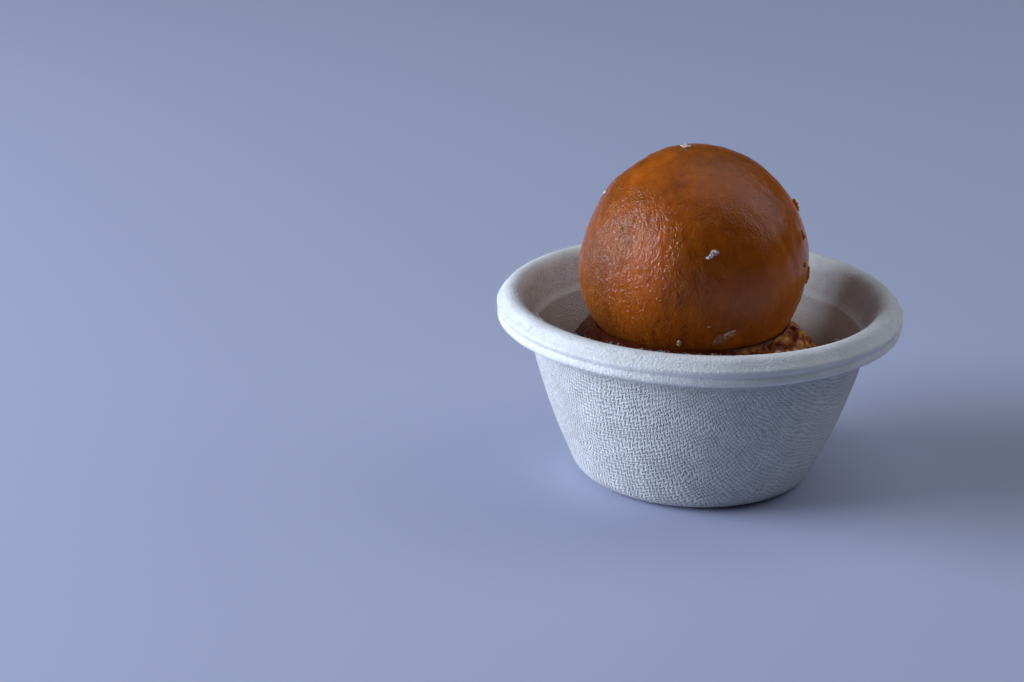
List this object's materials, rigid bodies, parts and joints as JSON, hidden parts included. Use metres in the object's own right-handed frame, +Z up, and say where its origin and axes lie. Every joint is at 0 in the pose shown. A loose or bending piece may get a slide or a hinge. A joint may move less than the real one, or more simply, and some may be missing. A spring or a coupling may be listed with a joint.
{
  "type": "gulab jamun in a portion cup",
  "caption": "Round fried milk dumpling soaked in syrup, resting on a broken one in a small round moulded-fibre cup with a rolled rim.",
  "frame": {"origin": "middle of the cup's flat base, on the surface it stands on", "axes": "+Z up along the cup's axis; +X to the right and -Y towards the viewer of the reference view"},
  "size_m": [0.07, 0.07, 0.0585],
  "materials": {
    "moulded_fibre": "matt pressed plant fibre, cloth-textured outside and smooth inside",
    "fried_skin": "fried milk-dough skin, wet with syrup and finely wrinkled",
    "soaked_crumb": "broken, syrup-soaked dumpling, rough and wet"
  },
  "bodies": {
    "root": {"fibre_cup": "moulded_fibre", "gulab_jamun": "fried_skin", "lower_gulab_jamun": "soaked_crumb"}
  },
  "joints": []
}
